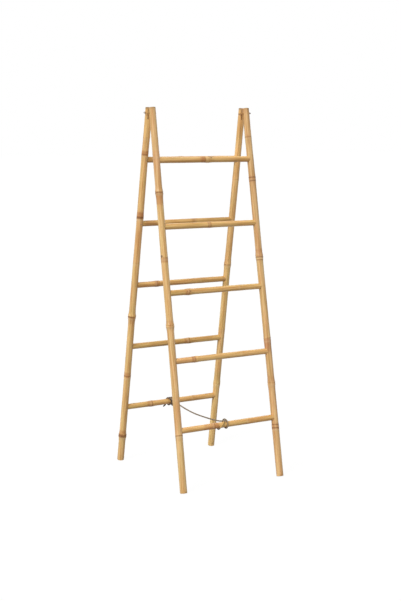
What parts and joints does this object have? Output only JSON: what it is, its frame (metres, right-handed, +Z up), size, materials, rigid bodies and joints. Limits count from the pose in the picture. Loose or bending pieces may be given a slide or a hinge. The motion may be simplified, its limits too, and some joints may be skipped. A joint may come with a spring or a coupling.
{
  "type": "towel ladder",
  "caption": "Free-standing folding towel ladder of bamboo: two rung frames joined by wire at the top and tied by a rope between the lowest rungs.",
  "frame": {"origin": "on the floor, in the middle of the four feet", "axes": "+Z up, +X along the rungs to the right as seen from the front, +Y from the front frame to the back frame"},
  "size_m": [0.5136, 0.611, 1.5805],
  "materials": {
    "bamboo_stile": "satin natural skin",
    "bamboo_rung": "satin natural skin",
    "nail_steel": "bright",
    "hinge_wire": "dark brown, satin",
    "jute_rope": "rough, twisted"
  },
  "bodies": {
    "front_ladder": {"front_left_stile": "bamboo_stile", "front_right_stile": "bamboo_stile", "front_rung_1": "bamboo_rung", "front_rung_2": "bamboo_rung", "front_rung_3": "bamboo_rung", "front_rung_4": "bamboo_rung", "front_rung_5": "bamboo_rung", "front_rung_nails": "nail_steel", "front_hitch": "jute_rope", "tether_rope": "jute_rope"},
    "back_ladder": {"back_left_stile": "bamboo_stile", "back_right_stile": "bamboo_stile", "back_rung_1": "bamboo_rung", "back_rung_2": "bamboo_rung", "back_rung_3": "bamboo_rung", "back_rung_4": "bamboo_rung", "back_rung_5": "bamboo_rung", "back_rung_nails": "nail_steel", "back_hitch": "jute_rope"},
    "left_hinge_wire": {"left_hinge_wire": "hinge_wire"},
    "right_hinge_wire": {"right_hinge_wire": "hinge_wire"}
  },
  "joints": [
    {"name": "back_fold", "type": "hinge", "parent": "front_ladder", "child": "back_ladder", "pos_m": [0, 0, 1.5545], "axis": [-1, 0, 0], "range_deg": [0, 19], "deforming": ["tether_rope"]},
    {"name": "left_wire_swing", "type": "hinge", "parent": "front_ladder", "child": "left_hinge_wire", "pos_m": [-0.2297, -0.0186, 1.5545], "axis": [-1, 0, 0], "range_deg": [0, 9.5]},
    {"name": "right_wire_swing", "type": "hinge", "parent": "front_ladder", "child": "right_hinge_wire", "pos_m": [0.2297, -0.0186, 1.5545], "axis": [-1, 0, 0], "range_deg": [0, 9.5]}
  ],
  "couplings": [
    {"joint": "left_wire_swing", "follows": "back_fold", "ratio": 0.5},
    {"joint": "right_wire_swing", "follows": "back_fold", "ratio": 0.5}
  ]
}
